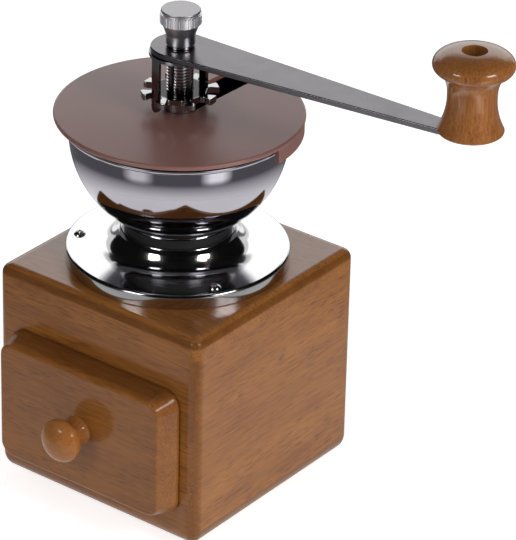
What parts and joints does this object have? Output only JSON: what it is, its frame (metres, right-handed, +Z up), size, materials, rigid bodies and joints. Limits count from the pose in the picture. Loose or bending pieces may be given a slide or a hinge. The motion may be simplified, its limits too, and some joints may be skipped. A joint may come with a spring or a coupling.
{
  "type": "burr coffee grinder",
  "caption": "Hand coffee grinder: wooden box with a drawer, flanged throat, round metal bowl with a slotted lid, conical burrs on a vertical shaft, and a flat crank with a turned knob.",
  "frame": {"origin": "on the shaft's axis, in the plane that the feet stand on", "axes": "+Z up along the shaft; the drawer opens along -Y; at rest the crank points near +X"},
  "size_m": [0.2243, 0.1478, 0.2547],
  "materials": {
    "box_wood": "stained and satin varnished, horizontal grain",
    "turned_wood": "turned, stained and gloss varnished",
    "plain_wood": "plain sanded wood",
    "rubber": "matt black",
    "chrome": "bright mirror plating",
    "dark_chrome": "bright dark plating",
    "steel": "bright zinc plating",
    "satin_steel": "satin",
    "bronze": "sintered bronze",
    "burr_ceramic": "unglazed white ceramic",
    "lid_plastic": "satin moulded plastic"
  },
  "bodies": {
    "housing": {"top_board": "box_wood", "base_board": "box_wood", "front_board": "box_wood", "back_board": "box_wood", "left_board": "box_wood", "right_board": "box_wood", "runner_left": "plain_wood", "runner_right": "plain_wood", "feet": "rubber", "throat_casting": "chrome", "flange_screws": "steel", "burr_ring": "burr_ceramic", "ring_retainer": "satin_steel", "retainer_screws": "steel", "shaft_guide": "satin_steel", "lower_bush": "bronze", "bowl_gasket": "rubber", "bowl": "chrome", "bridge": "satin_steel", "bridge_screws": "steel", "upper_bush": "satin_steel"},
    "drawer": {"drawer_front": "box_wood", "drawer_side_left": "plain_wood", "drawer_side_right": "plain_wood", "drawer_back": "plain_wood", "drawer_bottom": "plain_wood", "drawer_knob": "turned_wood", "drawer_knob_screw": "steel"},
    "lid": {"lid": "lid_plastic"},
    "star_nut": {"thrust_washer": "steel", "star_nut": "chrome"},
    "shaft": {"shaft": "steel", "cone_burr": "burr_ceramic", "cone_washer": "steel", "cone_nut": "steel", "spring_cup": "steel", "burr_spring": "steel", "stop_plate": "chrome", "crank_arm": "dark_chrome", "knob_pin": "steel", "knob_washer": "steel"},
    "crank_knob": {"crank_knob": "turned_wood"},
    "cap_washer": {"cap_washer": "steel"},
    "cap_nut": {"cap_nut": "chrome"}
  },
  "joints": [
    {"name": "drawer_slide", "type": "slide", "parent": "housing", "child": "drawer", "axis": [0, -1, 0], "range_m": [0, 0.085]},
    {"name": "lid_turn", "type": "hinge", "parent": "housing", "child": "lid", "pos_m": [0, 0, 0.183], "axis": [0, 0, 1], "continuous": true},
    {"name": "crank_turn", "type": "hinge", "parent": "housing", "child": "star_nut", "pos_m": [0, 0, 0.193], "axis": [0, 0, 1], "continuous": true},
    {"name": "grind_adjust", "type": "slide", "parent": "star_nut", "child": "shaft", "axis": [0, 0, 1], "range_m": [0, 0.0015], "deforming": ["burr_spring"]},
    {"name": "knob_spin", "type": "hinge", "parent": "shaft", "child": "crank_knob", "pos_m": [0.14854, 0.01169, 0.217], "axis": [0, 0, 1], "continuous": true},
    {"name": "cap_nut_turn", "type": "hinge", "parent": "shaft", "child": "cap_washer", "pos_m": [0, 0, 0.2166], "axis": [0, 0, 1], "range_deg": [0, 1080]},
    {"name": "cap_nut_rise", "type": "slide", "parent": "cap_washer", "child": "cap_nut", "axis": [0, 0, 1], "range_m": [0, 0.0045]}
  ],
  "couplings": [
    {"joint": "cap_nut_rise", "follows": "cap_nut_turn", "m_per_rad": 0.00019894}
  ]
}
